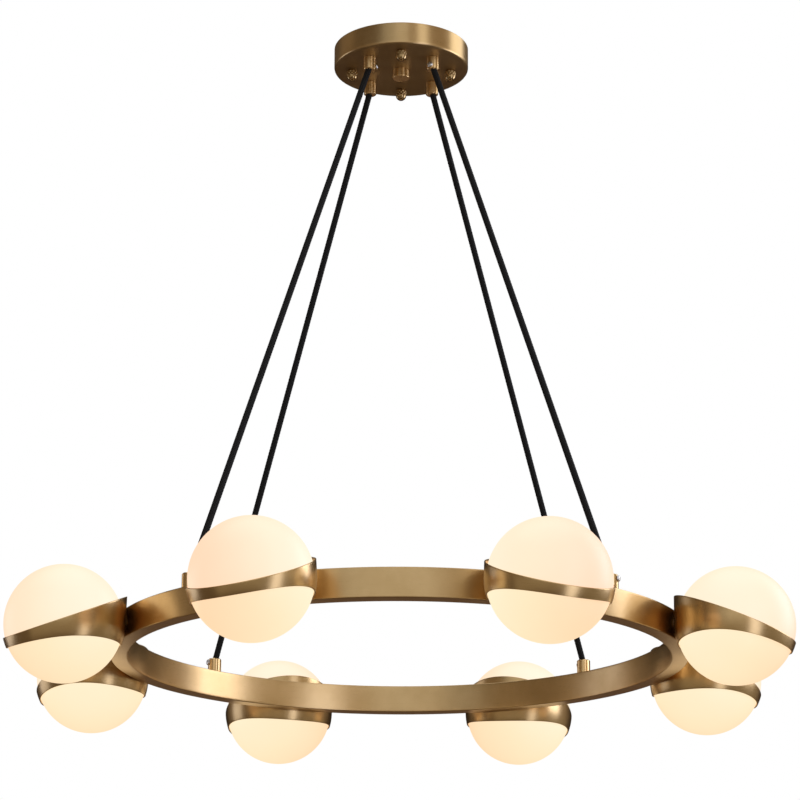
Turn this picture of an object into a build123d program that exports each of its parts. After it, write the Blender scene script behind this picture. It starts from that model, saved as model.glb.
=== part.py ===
"""Ring chandelier: eight opal globes in slant-cut brass cups around a hollow brass ring.

The ring hangs on four taut cords from a round canopy. Millimetres, +Z up.
The origin is the middle of the ceiling plane, so everything lies below z = 0.
"""
import math
import os

from build123d import *

# Globes and their slant-cut cups
globe_count = 8
glass_radius = 60.0
glass_wall = 2.5
glass_joint_gap = 0.3
glass_joint_height = 3.0
glass_clearance = 0.6
cup_wall = 1.4
cup_rim_tilt = 22.8
cup_rim_height = 6.2
cup_lip_round = 0.6
cup_low_edge_outer = 32.0
cup_low_edge_side = 17.4
cup_low_edge_ring = 20.5
# Degrees that each cup was turned on its tube when it was fitted
cup_turns = (-4.0, -3.0, 0.0, 0.0, 6.0, -4.0, 2.0, 2.0)

# Hollow ring
ring_outer_radius = 303.0
ring_width = 18.0
ring_height = 30.0
ring_wall = 1.5
ring_edge_round = 1.0
ring_above_globes = 6.0
hang_height = 690.0

# Spacer, threaded tube, holder and bulb of one globe
saddle_gap = 1.0
saddle_radius = 9.0
nipple_radius = 5.0
nipple_bore = 3.0
nipple_stand = 1.0
holder_radius = 10.0
holder_length = 24.0
holder_socket_depth = 10.0
bulb_base_radius = 5.5
bulb_base_depth = 6.0
bulb_radius = 7.5
bulb_length = 44.0

# Canopy
canopy_radius = 75.0
canopy_height = 25.0
canopy_wall = 1.5
canopy_edge_round = 2.5
hub_radius = 9.6
hub_height = 10.0
hub_edge_round = 0.8

# Ceiling bracket and its studs
bracket_length = 132.0
bracket_width = 20.0
bracket_thickness = 2.0
bracket_corner = 3.0
bracket_slot_spacing = 66.0
bracket_slot_length = 14.0
bracket_slot_width = 5.0
supply_hole_radius = 7.0
stud_circle_radius = 55.0
stud_count = 4
stud_radius = 2.0
stud_end_depth = 8.0

# Knurled cap nuts
nut_radius = 6.4
nut_barrel_height = 6.6
nut_collar_height = 0.8
nut_collar_step = 1.0
nut_knurl_count = 20
nut_knurl_depth = 0.45
nut_gap = 0.1

# Cord grips on the canopy, sockets on the ring, and what locks them
cord_count = 4
gland_circle_radius = 49.5
gland_radius = 7.0
gland_height = 15.0
socket_radius = 7.4
socket_height = 15.0
socket_chamfer = 1.0
spigot_radius = 4.5
spigot_stand = 6.0
lead_bore_radius = 2.2
lock_nut_across_flats = 14.0
lock_nut_height = 3.0
screw_head_radius = 3.2
screw_head_height = 2.2
screw_shank_radius = 1.5
screw_slot_width = 0.9
screw_slot_depth = 0.9
# Directions that the set screws face, in degrees
gland_screw_turns = (60.0, 120.0, 0.0, 245.0)
socket_screw_turns = (128.0, 208.0, 30.0, 330.0)

# Cords and inner wiring
cord_radius = 3.5
cord_grip = 9.0
lead_radius = 1.5
lead_bend = 9.0
loom_radius = 2.0
block_length = 36.0
block_width = 16.0
block_height = 12.0
block_from_centre = 24.0
block_chamfer = 1.0

# Fits
seat_clearance = 0.1
thread_clearance = 0.05
pass_clearance = 0.2

# Worked out from the sizes above
cup_inner_radius = glass_radius + glass_clearance
cup_outer_radius = cup_inner_radius + cup_wall
globe_circle_radius = ring_outer_radius + saddle_gap + cup_outer_radius
globe_z = -hang_height
ring_mid_z = globe_z + ring_above_globes
ring_top_z = ring_mid_z + ring_height / 2
ring_mid_radius = ring_outer_radius - ring_width / 2
canopy_bottom_z = -canopy_height
canopy_floor_z = canopy_bottom_z + canopy_wall
gland_bottom_z = canopy_bottom_z - gland_height
socket_top_z = ring_top_z + socket_height
globe_step = 360.0 / globe_count
globe_angles = [globe_step * (number + 0.5) for number in range(globe_count)]
cord_angles = [360.0 / cord_count * (number + 0.5) for number in range(cord_count)]
stud_angles = [360.0 / stud_count * number for number in range(stud_count)]
glass_inner_radius = glass_radius - glass_wall
holder_base = math.sqrt(glass_inner_radius**2 - (ring_above_globes + holder_radius) ** 2)
holder_front = holder_base - holder_length
bulb_tip = holder_front - bulb_length
nipple_length_in = holder_base - holder_socket_depth
cord_drop = gland_bottom_z - socket_top_z + cord_grip
cord_spread = ring_mid_radius - gland_circle_radius
cord_lean = math.atan2(cord_spread, cord_drop)
cord_end_tip = cord_grip + cord_radius * math.sin(cord_lean) + seat_clearance
screw_start = cord_radius / math.cos(cord_lean) + screw_shank_radius * math.tan(cord_lean) + seat_clearance
loom_z = ring_mid_z - ring_height / 2 + ring_wall + seat_clearance + loom_radius

up = Vector(0, 0, 1)
os.makedirs("parts", exist_ok=True)
written = []


def keep(piece, name):
    """Label a finished piece and write it under its node name."""
    piece.part.label = name
    export_step(piece.part, f"parts/{name}.step")
    written.append(name)


def outward_at(angle):
    """Horizontal unit vector pointing away from the ring's axis."""
    return Vector(1, 0, 0).rotate(Axis.Z, angle)


def globe_outward(globe):
    """Horizontal unit vector from the ring's axis to a globe."""
    return outward_at(globe_angles[globe])


def globe_centre(globe):
    """Centre of a globe."""
    return globe_outward(globe) * globe_circle_radius + up * globe_z


def cup_up(globe):
    """Upright direction of a cup, leaned sideways by the cup's turn on its tube."""
    turn = math.radians(cup_turns[globe % len(cup_turns)])
    return up * math.cos(turn) + up.cross(globe_outward(globe)) * math.sin(turn)


def side_plane(globe, tip=0.0):
    """Plane through a globe's centre: x points at the ring, raised by tip, and y is the cup's upright."""
    inward = globe_outward(globe) * -1
    rise = math.radians(tip)
    return Plane(
        origin=globe_centre(globe),
        x_dir=inward * math.cos(rise) + cup_up(globe) * math.sin(rise),
        z_dir=inward.cross(cup_up(globe)),
    )


def lamp_plane(globe):
    """Plane across the lamp's axis: its normal points at the ring, at the ring's mid height."""
    return Plane(
        origin=globe_centre(globe) + up * ring_above_globes,
        x_dir=up,
        z_dir=globe_outward(globe) * -1,
    )


def cup_axis(globe):
    """Axis that a cup is turned about."""
    return Axis(globe_centre(globe), cup_up(globe))


def rim_axis(globe):
    """Axis of the two glass halves, square to the slanted rim."""
    return Axis(globe_centre(globe), side_plane(globe, cup_rim_tilt).y_dir)


def cord_crossings(angle):
    """Where a cord's line crosses the axis of its grip on the canopy and of its socket on the ring."""
    top = outward_at(angle) * gland_circle_radius + up * (gland_bottom_z + cord_grip / 2)
    bottom = outward_at(angle) * ring_mid_radius + up * (socket_top_z - cord_grip / 2)
    return top, bottom


def cord_plane(angle, end):
    """Plane across a cord at its top end (0) or bottom end (1), facing along the cord."""
    crossings = cord_crossings(angle)
    along = (crossings[1 - end] - crossings[end]).normalized()
    held = cord_grip / 2 / math.cos(cord_lean)
    return Plane(origin=crossings[end] - along * held, x_dir=up.cross(outward_at(angle)), z_dir=along)


# Cups: a ball below the middle and a plain cylinder above it, cut slantwise above and in a curve below
def make_cup(globe):
    reach = cup_outer_radius + 2 * cup_wall
    ball_part = 45.0
    rise = math.tan(math.radians(cup_rim_tilt)) * reach
    with BuildPart() as cup:
        with BuildSketch(side_plane(globe)):
            with BuildLine():
                outside = CenterArc((0, 0), cup_outer_radius, -ball_part, ball_part)
                inside = CenterArc((0, 0), cup_inner_radius, -ball_part, ball_part)
                Polyline(outside @ 1, (cup_outer_radius, reach), (cup_inner_radius, reach), inside @ 1)
                Line(outside @ 0, inside @ 0)
            make_face()
        revolve(axis=cup_axis(globe))
        with BuildSketch(side_plane(globe)):
            with BuildLine():
                low_edge = ThreePointArc(
                    (-reach, -cup_low_edge_outer), (0, -cup_low_edge_side), (reach, -cup_low_edge_ring)
                )
                Polyline(
                    low_edge @ 1,
                    (reach, cup_rim_height + rise),
                    (-reach, cup_rim_height - rise),
                    low_edge @ 0,
                )
            make_face()
        extrude(amount=reach, both=True, mode=Mode.INTERSECT)
        rim_normal = rim_axis(globe).direction
        rim = cup.faces().filter_by(GeomType.PLANE).sort_by(Axis(globe_centre(globe), rim_normal))[-1]
        fillet(rim.edges(), cup_lip_round)
        with BuildSketch(lamp_plane(globe)):
            Circle(nipple_radius + pass_clearance)
        extrude(amount=reach, mode=Mode.SUBTRACT)
    return cup


# Opal glass halves: two ball shells that meet behind the cup, one of them pierced for the tube
def make_glass(globe, upper):
    side = 1 if upper else -1
    joint = glass_joint_height + side * glass_joint_gap / 2
    outer_start = math.degrees(math.asin(joint / glass_radius))
    inner_start = math.degrees(math.asin(joint / glass_inner_radius))
    with BuildPart() as glass:
        with BuildSketch(side_plane(globe, cup_rim_tilt)):
            with BuildLine():
                outside = CenterArc((0, 0), glass_radius, outer_start, side * 90 - outer_start)
                inside = CenterArc((0, 0), glass_inner_radius, inner_start, side * 90 - inner_start)
                Line(outside @ 0, inside @ 0)
                Line(outside @ 1, inside @ 1)
            make_face()
        revolve(axis=rim_axis(globe))
        if not upper:
            with BuildSketch(lamp_plane(globe)):
                Circle(nipple_radius + pass_clearance)
            extrude(amount=cup_outer_radius, mode=Mode.SUBTRACT)
    return glass


for globe in range(globe_count):
    keep(make_cup(globe), f"cup_{globe + 1}")
    keep(make_glass(globe, upper=False), f"lower_glass_{globe + 1}")
    keep(make_glass(globe, upper=True), f"upper_glass_{globe + 1}")

# Spacers shaped to the ring on one side and to the cup on the other
with BuildPart() as saddles:
    for globe in range(globe_count):
        with BuildSketch(lamp_plane(globe).offset(cup_outer_radius - saddle_radius)):
            Circle(saddle_radius)
            Circle(nipple_radius + pass_clearance, mode=Mode.SUBTRACT)
        extrude(amount=2 * saddle_radius)
    with BuildSketch(Plane.XY.offset(ring_mid_z)):
        Circle(ring_outer_radius + seat_clearance)
    extrude(amount=ring_height, both=True, mode=Mode.SUBTRACT)
    for globe in range(globe_count):
        with BuildSketch(Plane(origin=globe_centre(globe), x_dir=globe_outward(globe), z_dir=cup_up(globe))):
            Circle(cup_outer_radius + seat_clearance)
        extrude(amount=cup_outer_radius, mode=Mode.SUBTRACT)
        with Locations(globe_centre(globe)):
            Sphere(cup_outer_radius + seat_clearance, mode=Mode.SUBTRACT)
keep(saddles, "saddles")

# Threaded tubes from inside the ring, through the cups, into the lamp holders
nipple_end = globe_circle_radius - (ring_outer_radius - ring_wall - nipple_stand)
with BuildPart() as nipples:
    for globe in range(globe_count):
        with BuildSketch(lamp_plane(globe).offset(nipple_length_in)):
            Circle(nipple_radius)
            Circle(nipple_bore, mode=Mode.SUBTRACT)
        extrude(amount=nipple_end - nipple_length_in)
keep(nipples, "nipples")

# Lamp holders on the tubes, with a socket at the back and a recess for the bulb in front
with BuildPart() as lamp_holders:
    for globe in range(globe_count):
        with BuildSketch(lamp_plane(globe).offset(holder_front)):
            Circle(holder_radius)
        extrude(amount=holder_length)
        with BuildSketch(lamp_plane(globe).offset(nipple_length_in)):
            Circle(nipple_radius + thread_clearance)
        extrude(amount=holder_socket_depth, mode=Mode.SUBTRACT)
        with BuildSketch(lamp_plane(globe).offset(holder_front)):
            Circle(bulb_base_radius + thread_clearance)
        extrude(amount=bulb_base_depth, mode=Mode.SUBTRACT)
keep(lamp_holders, "lamp_holders")

# Bulbs: a narrow base in the holder and a round-ended body
with BuildPart() as bulbs:
    for globe in range(globe_count):
        across = lamp_plane(globe)
        with BuildSketch(Plane(origin=across.origin, x_dir=across.z_dir, z_dir=across.z_dir.cross(up))):
            with BuildLine():
                tip = CenterArc((bulb_tip + bulb_radius, 0), bulb_radius, 90, 90)
                Polyline(
                    tip @ 0,
                    (holder_front - seat_clearance, bulb_radius),
                    (holder_front - seat_clearance, bulb_base_radius),
                    (holder_front + bulb_base_depth, bulb_base_radius),
                    (holder_front + bulb_base_depth, 0),
                    tip @ 1,
                )
            make_face()
        revolve(axis=Axis(across.origin, across.z_dir))
keep(bulbs, "bulbs")

# Hollow ring, pierced for the tubes of the globes and the spigots of the cord sockets
with BuildPart() as ring:
    with BuildSketch(Plane.XZ):
        with Locations((ring_mid_radius, ring_mid_z)):
            RectangleRounded(ring_width, ring_height, ring_edge_round)
            Rectangle(ring_width - 2 * ring_wall, ring_height - 2 * ring_wall, mode=Mode.SUBTRACT)
    revolve(axis=Axis.Z)
    for globe in range(globe_count):
        with BuildSketch(lamp_plane(globe).offset(cup_outer_radius)):
            Circle(nipple_radius + thread_clearance)
        extrude(amount=ring_width / 2, mode=Mode.SUBTRACT)
    with BuildSketch(Plane.XY.offset(ring_top_z)):
        with PolarLocations(ring_mid_radius, cord_count, cord_angles[0]):
            Circle(spigot_radius + thread_clearance)
    extrude(amount=-2 * ring_wall, mode=Mode.SUBTRACT)
keep(ring, "ring")


# Cord grips: a round body on one side of a plate and a hollow spigot through it
def make_cord_grip(angle, end, body_radius, height, face_z, spigot_length, screw_turn):
    along = 1 if end else -1
    place = cord_crossings(angle)[end]
    face = Plane(origin=(place.X, place.Y, face_z))
    with BuildPart() as grip:
        with BuildSketch(face):
            Circle(body_radius)
        extrude(amount=along * height)
        free_edge = grip.edges().filter_by(GeomType.CIRCLE).sort_by(Axis.Z)[-1 if end else 0]
        chamfer(free_edge, socket_chamfer)
        with BuildSketch(face):
            Circle(spigot_radius)
        extrude(amount=-along * spigot_length)
        with BuildSketch(face.offset(-along * spigot_length)):
            Circle(lead_bore_radius)
        extrude(amount=along * (spigot_length + height - cord_grip / 2), mode=Mode.SUBTRACT)
        with BuildSketch(cord_plane(angle, end)):
            Circle(cord_radius + thread_clearance)
        extrude(amount=2 * cord_grip, mode=Mode.SUBTRACT)
        with BuildSketch(screw_plane(angle, end, screw_turn)):
            Circle(screw_shank_radius + thread_clearance)
        extrude(amount=body_radius, mode=Mode.SUBTRACT)
    return grip


def screw_plane(angle, end, turn):
    """Plane across a set screw on its grip's axis, facing the way that the screw's head looks."""
    return Plane(origin=cord_crossings(angle)[end], x_dir=up, z_dir=outward_at(turn))


# Cross-slot set screws: a shank from the cord to the grip's side, and a low round head outside it
def make_set_screws(end, body_radius, turns):
    head_face = body_radius + seat_clearance
    slot_length = 1.5 * screw_head_radius
    with BuildPart() as screws:
        for angle, turn in zip(cord_angles, turns):
            across = screw_plane(angle, end, turn)
            with BuildSketch(across.offset(screw_start)):
                Circle(screw_shank_radius)
            extrude(amount=head_face - screw_start)
            with BuildSketch(across.offset(head_face)):
                Circle(screw_head_radius)
            extrude(amount=screw_head_height)
            with BuildSketch(across.offset(head_face + screw_head_height)):
                Rectangle(slot_length, screw_slot_width)
                Rectangle(screw_slot_width, slot_length)
            extrude(amount=-screw_slot_depth, mode=Mode.SUBTRACT)
    return screws


for number, angle in enumerate(cord_angles, start=1):
    gland = make_cord_grip(
        angle,
        0,
        gland_radius,
        gland_height,
        canopy_bottom_z,
        canopy_wall + spigot_stand,
        gland_screw_turns[number - 1],
    )
    keep(gland, f"cord_gland_{number}")
    socket = make_cord_grip(
        angle,
        1,
        socket_radius,
        socket_height,
        ring_top_z,
        ring_wall,
        socket_screw_turns[number - 1],
    )
    keep(socket, f"ring_socket_{number}")
keep(make_set_screws(0, gland_radius, gland_screw_turns), "gland_set_screws")
keep(make_set_screws(1, socket_radius, socket_screw_turns), "socket_set_screws")

# Taut cords, each one straight run from grip to socket
for number, angle in enumerate(cord_angles, start=1):
    cord_length = abs(cord_plane(angle, 1).origin - cord_plane(angle, 0).origin)
    with BuildPart() as cord:
        with BuildSketch(cord_plane(angle, 0)):
            Circle(cord_radius)
        extrude(amount=cord_length)
    keep(cord, f"cord_{number}")
    section_volume = math.pi * cord_radius**2 * cord_length
    print(f"cord_{number}: straight, length {cord_length:.2f},", end=" ")
    print(f"volume {cord.part.volume:.1f} against section times length {section_volume:.1f}")

# Canopy: an open-topped dish, pierced for the grips, the studs and the hub
with BuildPart() as canopy:
    with BuildSketch(Plane.XY):
        Circle(canopy_radius)
    extrude(amount=-canopy_height)
    fillet(canopy.faces().sort_by(Axis.Z)[0].edges(), canopy_edge_round)
    offset(amount=-canopy_wall, openings=canopy.faces().sort_by(Axis.Z)[-1])
    with BuildSketch(Plane.XY.offset(canopy_bottom_z)):
        Circle(spigot_radius + pass_clearance)
        with PolarLocations(gland_circle_radius, cord_count, cord_angles[0]):
            Circle(spigot_radius + pass_clearance)
        with PolarLocations(stud_circle_radius, stud_count):
            Circle(stud_radius + pass_clearance)
    extrude(amount=canopy_wall, mode=Mode.SUBTRACT)
keep(canopy, "canopy")

# Plain plug in the middle of the canopy
with BuildPart() as centre_hub:
    with BuildSketch(Plane.XY.offset(canopy_bottom_z)):
        Circle(hub_radius)
    extrude(amount=-hub_height)
    fillet(centre_hub.faces().sort_by(Axis.Z)[0].edges(), hub_edge_round)
    with BuildSketch(Plane.XY.offset(canopy_bottom_z)):
        Circle(spigot_radius)
    extrude(amount=canopy_wall + spigot_stand)
keep(centre_hub, "centre_hub")

# Lock nuts on the canopy's floor, one on the hub and one on each grip
with BuildPart() as hub_nut:
    with BuildSketch(Plane.XY.offset(canopy_floor_z)):
        RegularPolygon(lock_nut_across_flats / 2, 6, major_radius=False)
        Circle(spigot_radius + thread_clearance, mode=Mode.SUBTRACT)
    extrude(amount=lock_nut_height)
keep(hub_nut, "hub_nut")

with BuildPart() as gland_nuts:
    with BuildSketch(Plane.XY.offset(canopy_floor_z)):
        with PolarLocations(gland_circle_radius, cord_count, cord_angles[0]):
            RegularPolygon(lock_nut_across_flats / 2, 6, major_radius=False)
            Circle(spigot_radius + thread_clearance, mode=Mode.SUBTRACT)
    extrude(amount=lock_nut_height)
keep(gland_nuts, "gland_nuts")

# Ceiling bracket: a flat cross with two slots for ceiling screws and a hole for the supply
with BuildPart() as mounting_bracket:
    with BuildSketch(Plane.XY):
        RectangleRounded(bracket_length, bracket_width, bracket_corner)
        RectangleRounded(bracket_width, bracket_length, bracket_corner)
        Circle(supply_hole_radius, mode=Mode.SUBTRACT)
        with Locations((bracket_slot_spacing / 2, 0), (-bracket_slot_spacing / 2, 0)):
            SlotOverall(bracket_slot_length, bracket_slot_width, mode=Mode.SUBTRACT)
        with PolarLocations(stud_circle_radius, stud_count):
            Circle(stud_radius + thread_clearance, mode=Mode.SUBTRACT)
    extrude(amount=-bracket_thickness)
keep(mounting_bracket, "mounting_bracket")

# Studs fixed in the bracket, each with a collar under the plate
with BuildPart() as bracket_studs:
    with BuildSketch(Plane.XY):
        with PolarLocations(stud_circle_radius, stud_count):
            Circle(stud_radius)
    extrude(amount=-(canopy_height + stud_end_depth))
    with BuildSketch(Plane.XY.offset(-bracket_thickness)):
        with PolarLocations(stud_circle_radius, stud_count):
            Circle(2 * stud_radius)
    extrude(amount=-stud_radius)
keep(bracket_studs, "bracket_studs")


# Knurled cap nuts: a neck, a fluted barrel and a round end, bored for the stud
def make_canopy_nut(angle):
    place = outward_at(angle) * stud_circle_radius + up * (canopy_bottom_z - nut_gap)
    neck_radius = nut_radius - nut_collar_step
    with BuildPart() as nut:
        with BuildSketch(Plane(origin=place, x_dir=outward_at(angle), z_dir=outward_at(angle).cross(up))):
            with BuildLine():
                ball_end = CenterArc((0, -nut_barrel_height), nut_radius, 0, -90)
                Polyline(
                    ball_end @ 1,
                    (0, 0),
                    (neck_radius, 0),
                    (neck_radius, -nut_collar_height),
                    (nut_radius, -nut_collar_height - nut_collar_step),
                    ball_end @ 0,
                )
            make_face()
        revolve(axis=Axis(place, up))
        with BuildSketch(Plane(origin=place)):
            with PolarLocations(nut_radius, nut_knurl_count):
                Circle(nut_knurl_depth)
        extrude(amount=-nut_barrel_height, mode=Mode.SUBTRACT)
        with BuildSketch(Plane(origin=place)):
            Circle(stud_radius + thread_clearance)
        extrude(amount=-(stud_end_depth + 2 * pass_clearance), mode=Mode.SUBTRACT)
    return nut


for number, angle in enumerate(stud_angles, start=1):
    keep(make_canopy_nut(angle), f"canopy_nut_{number}")

# Terminal block under the bracket, with wide-mouthed entries for the leads
block_z = -bracket_thickness - block_height / 2
entry_depth = block_width / 4
entry_radius = 2 * lead_radius
end_entry = Vector(block_length / 2, block_from_centre + block_width / 4, block_z)
side_entry = Vector(block_length / 4, block_from_centre - block_width / 2, block_z)
with BuildPart() as terminal_block:
    with Locations((0, block_from_centre, block_z)):
        Box(block_length, block_width, block_height)
    chamfer(terminal_block.faces().sort_by(Axis.Z)[0].edges(), block_chamfer)
    for side in (1, -1):
        with BuildSketch(Plane(origin=(side * end_entry.X, end_entry.Y, block_z), z_dir=(side, 0, 0))):
            Circle(entry_radius)
        extrude(amount=-entry_depth, mode=Mode.SUBTRACT)
        with BuildSketch(Plane(origin=(side * side_entry.X, side_entry.Y, block_z), z_dir=(0, -1, 0))):
            Circle(entry_radius)
        extrude(amount=-entry_depth, mode=Mode.SUBTRACT)
keep(terminal_block, "terminal_block")


# Leads from the cords' ends, up through the grips and across to the terminal block
with BuildPart() as canopy_leads:
    for angle in cord_angles:
        start = outward_at(angle) * gland_circle_radius
        foot = start + up * (gland_bottom_z + cord_end_tip)
        side = math.copysign(1, start.X)
        if start.Y > 0:
            inside = Vector(side * (end_entry.X - entry_depth / 2), end_entry.Y, block_z)
        else:
            inside = Vector(side * side_entry.X, side_entry.Y + entry_depth / 2, block_z)
        with BuildLine() as lead_path:
            FilletPolyline(foot, start + up * block_z, inside, radius=lead_bend)
        with BuildSketch(Plane(origin=foot, z_dir=up)):
            Circle(lead_radius)
        sweep(path=lead_path.line)
keep(canopy_leads, "canopy_leads")

# Wiring in the ring: a loop on its floor, with a branch into every tube and a riser into every socket
lamp_end = globe_circle_radius - nipple_length_in - seat_clearance
riser_top = socket_top_z - cord_end_tip
branch_z = loom_z + loom_radius + seat_clearance
with BuildPart() as ring_harness:
    with BuildSketch(Plane.XZ):
        with Locations((ring_mid_radius, loom_z)):
            Circle(loom_radius)
    revolve(axis=Axis.Z)
    for angle in globe_angles:
        foot = outward_at(angle) * ring_mid_radius + up * branch_z
        corner = outward_at(angle) * ring_mid_radius + up * ring_mid_z
        tip = outward_at(angle) * lamp_end + up * ring_mid_z
        with BuildLine() as branch_path:
            FilletPolyline(foot, corner, tip, radius=lead_bend)
        with BuildSketch(Plane(origin=foot, z_dir=up)):
            Circle(lead_radius)
        sweep(path=branch_path.line)
    with BuildSketch(Plane.XY.offset(branch_z)):
        with PolarLocations(ring_mid_radius, cord_count, cord_angles[0]):
            Circle(lead_radius)
    extrude(amount=riser_top - branch_z)
keep(ring_harness, "ring_harness")

print(len(written), "pieces written; wire bends", lead_bend)
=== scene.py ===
import math

import bmesh
import bpy
import numpy as np
from mathutils import Matrix


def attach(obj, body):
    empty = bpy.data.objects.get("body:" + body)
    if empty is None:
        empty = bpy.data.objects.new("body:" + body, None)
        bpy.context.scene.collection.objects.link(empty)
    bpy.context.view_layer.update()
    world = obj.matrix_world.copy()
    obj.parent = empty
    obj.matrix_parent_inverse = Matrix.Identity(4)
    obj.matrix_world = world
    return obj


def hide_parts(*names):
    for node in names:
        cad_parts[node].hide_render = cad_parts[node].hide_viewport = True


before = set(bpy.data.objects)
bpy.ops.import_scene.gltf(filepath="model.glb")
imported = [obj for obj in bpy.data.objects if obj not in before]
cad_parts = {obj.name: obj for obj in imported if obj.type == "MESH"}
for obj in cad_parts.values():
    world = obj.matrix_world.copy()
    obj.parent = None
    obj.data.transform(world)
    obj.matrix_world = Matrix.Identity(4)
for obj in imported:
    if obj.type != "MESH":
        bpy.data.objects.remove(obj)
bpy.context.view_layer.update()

# Sizes in metres and turns in degrees, the same as the part's own where the part has them
globe_count = 8
globe_circle_radius = 0.366
globe_z = -0.690
glass_radius = 0.060
glass_wall = 0.0025
glass_joint_height = 0.003
glass_joint_gap = 0.0003
cup_inner_radius = 0.0606
cup_wall = 0.0014
cup_rim_tilt = math.radians(22.8)
cup_rim_height = 0.0062
cup_low_edge_reach = 0.0648
cup_low_edge_outer = -0.0320
cup_low_edge_side = -0.0174
cup_low_edge_ring = -0.0205
cup_turns = (-4.0, -3.0, 0.0, 0.0, 6.0, -4.0, 2.0, 2.0)
lip_round = 0.0006
low_edge_round = 0.0003

ring_outer_radius = 0.303
ring_width = 0.018
ring_height = 0.030
ring_wall = 0.0015
ring_edge_round = 0.001
ring_mid_z = -0.684
ring_mid_radius = ring_outer_radius - ring_width / 2
ring_top_z = ring_mid_z + ring_height / 2

lamp_rise = 0.006
holder_radius = 0.010
holder_length = 0.024
holder_base = 0.05523
holder_front = holder_base - holder_length
holder_groove_depth = 0.0006
holder_groove_place = 0.010
holder_groove_width = 0.003
bulb_radius = 0.0075
bulb_length = 0.044
bulb_base_radius = 0.0055
bulb_base_depth = 0.006
bulb_tip = holder_front - bulb_length

canopy_radius = 0.075
canopy_height = 0.025
canopy_wall = 0.0015
canopy_edge_round = 0.0025
canopy_rim_round = 0.0005
hub_radius = 0.0096
hub_height = 0.010
hub_edge_round = 0.0008
spigot_radius = 0.0045
spigot_stand = 0.006

nut_circle_radius = 0.055
nut_gap = 0.0001
nut_radius = 0.0064
nut_barrel_height = 0.0066
nut_collar_height = 0.0008
nut_collar_step = 0.001
nut_knurl_count = 20
nut_knurl_depth = 0.0005
nut_ball_step = 0.0004
nut_angles = (0.0, 90.0, 180.0, 270.0)

gland_circle_radius = 0.0495
gland_radius = 0.007
gland_height = 0.015
socket_radius = 0.0074
socket_height = 0.015
mouth_chamfer = 0.001
grip_seat_round = 0.0004
lead_bore_radius = 0.0022
gland_mouth_z = -canopy_height - gland_height
socket_mouth_z = ring_top_z + socket_height

screw_head_radius = 0.0032
screw_head_height = 0.0022
screw_shank_radius = 0.0015
screw_slot_width = 0.0009
screw_slot_depth = 0.0009
screw_slot_length = 1.5 * screw_head_radius
screw_slot_wall = 0.00015
screw_rim_height = 0.00066
gland_screw_turns = (60.0, 120.0, 0.0, 245.0)
socket_screw_turns = (128.0, 208.0, 30.0, 330.0)

cord_angles = (45.0, 135.0, 225.0, 315.0)
cord_radius = 0.0035
cord_grip = 0.009
cord_bore_radius = 0.00355
braid_carriers = 8
braid_pitch = 0.0036
braid_depth = 0.0003

seat_clearance = 0.0001
small_round = 0.0002
merge_distance = 1e-7

up = np.array([0.0, 0.0, 1.0])
level_axes = (np.array([1.0, 0.0, 0.0]), np.array([0.0, 1.0, 0.0]), up)
axis_point = np.zeros(3)

# Values for the looks: the side where painted light makes a globe glow palest, how much the painted light
# changes it sideways and upwards, and which normals face down to take the canopy's painted shade
painted_light_turn = 115.0
painted_light_sideways = 0.42
painted_light_upwards = 0.06
facing_down = -0.7


# Places

def outward(angle):
    """Horizontal unit vector at an angle in degrees, counted from +X."""
    return np.array([math.cos(math.radians(angle)), math.sin(math.radians(angle)), 0.0])


def globe_angle(globe):
    """Angle of a globe round the ring, half a step off +X."""
    return 360.0 / globe_count * (globe + 0.5)


def globe_centre(globe):
    """Centre of a globe."""
    return outward(globe_angle(globe)) * globe_circle_radius + up * globe_z


def cup_axes(globe):
    """A cup's directions: at the ring, sideways, and upright, leaned by the cup's turn on its tube."""
    away = outward(globe_angle(globe))
    turn = math.radians(cup_turns[globe])
    upright = up * math.cos(turn) + np.cross(up, away) * math.sin(turn)
    return -away, np.cross(upright, -away), upright


def glass_axes(globe):
    """The cup's directions tipped by the slant of the rim, so that the last is square to the rim."""
    inward, sideways, upright = cup_axes(globe)
    tipped = inward * math.cos(cup_rim_tilt) + upright * math.sin(cup_rim_tilt)
    return tipped, sideways, np.cross(tipped, sideways)


def lamp_axes(globe):
    """Directions of a lamp: up, sideways, and along its axis at the ring."""
    inward = -outward(globe_angle(globe))
    return up, np.cross(inward, up), inward


def cord_crossings(angle):
    """Where a cord's line crosses the axis of its grip on the canopy and of its socket on the ring."""
    top = outward(angle) * gland_circle_radius + up * (gland_mouth_z + cord_grip / 2)
    bottom = outward(angle) * ring_mid_radius + up * (socket_mouth_z - cord_grip / 2)
    return top, bottom


def cord_line(angle):
    """A cord's direction downwards, and how far along it the middle of a grip is from either mouth."""
    top, bottom = cord_crossings(angle)
    down = (bottom - top) / np.linalg.norm(bottom - top)
    return down, cord_grip / 2 / -down[2]


# Surfaces

def rounded(corners, rounds, steps=5):
    """Profile through corners (radius, height), each rounded by an arc that touches both its sides.

    Straight stretches get a point near each end, which keeps the shading of flat faces flat.
    """
    corners = np.array(corners, float)
    share = np.linspace(0, 1, steps)[:, None]
    line = [corners[0]]
    for before, corner, after, round_ in zip(corners, corners[1:], corners[2:], rounds):
        back = (before - corner) / np.linalg.norm(before - corner)
        ahead = (after - corner) / np.linalg.norm(after - corner)
        half = math.acos(np.clip(back @ ahead, -1, 1)) / 2
        centre = corner + (back + ahead) / np.linalg.norm(back + ahead) * round_ / math.sin(half)
        first = corner + back * round_ / math.tan(half) - centre
        last = corner + ahead * round_ / math.tan(half) - centre
        spread = math.pi - 2 * half
        swung = np.sin((1 - share) * spread) * first + np.sin(share * spread) * last
        line.extend(centre + swung / math.sin(spread))
    line.append(corners[-1])
    line = np.array(line)
    near_end = 0.06
    runs = np.diff(line, axis=0)
    extra = np.stack([line[:-1] + runs * near_end, line[1:] - runs * near_end, line[1:]], 1)
    return np.concatenate([line[:1], extra.reshape(-1, 2)])


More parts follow.
